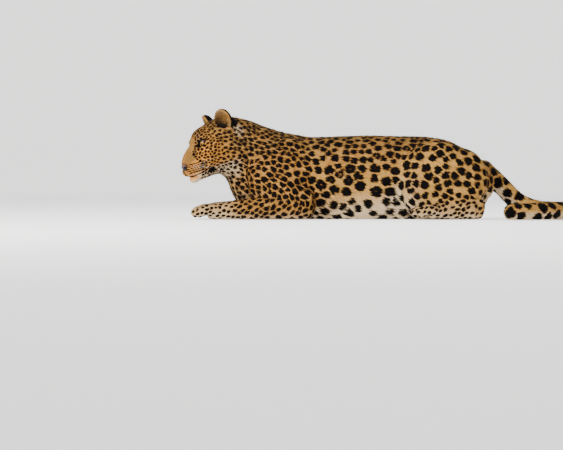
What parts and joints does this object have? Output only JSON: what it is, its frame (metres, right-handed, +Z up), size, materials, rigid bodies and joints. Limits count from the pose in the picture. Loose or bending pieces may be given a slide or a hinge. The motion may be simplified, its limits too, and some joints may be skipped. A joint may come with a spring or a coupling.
{
  "type": "lying leopard",
  "caption": "Spotted wild cat lying on its belly, head up and turned to its left, forelegs stretched forward, hind legs folded, tail curled on the floor.",
  "frame": {"origin": "middle of the bounding box's base, on the floor", "axes": "-X towards the head, -Y towards the animal's left side, +Z up"},
  "size_m": [1.2395, 0.5226, 0.3502],
  "materials": {
    "coat": "short dense fur, tan with dark rosettes, white below",
    "eye": "wet amber eye",
    "nose": "bare moist skin"
  },
  "bodies": {
    "root": {"head": "coat", "nose": "nose", "eye_left": "eye", "ear_left": "coat", "eye_right": "eye", "ear_right": "coat", "shoulder_left": "coat", "forearm_left": "coat", "forepaw_left": "coat", "thigh_left": "coat", "shank_left": "coat", "hindfoot_left": "coat", "shoulder_right": "coat", "forearm_right": "coat", "forepaw_right": "coat", "thigh_right": "coat", "shank_right": "coat", "hindfoot_right": "coat", "chest": "coat", "belly": "coat", "rump": "coat", "neck": "coat", "tail_base": "coat", "tail_middle": "coat", "tail_end": "coat"}
  },
  "joints": []
}
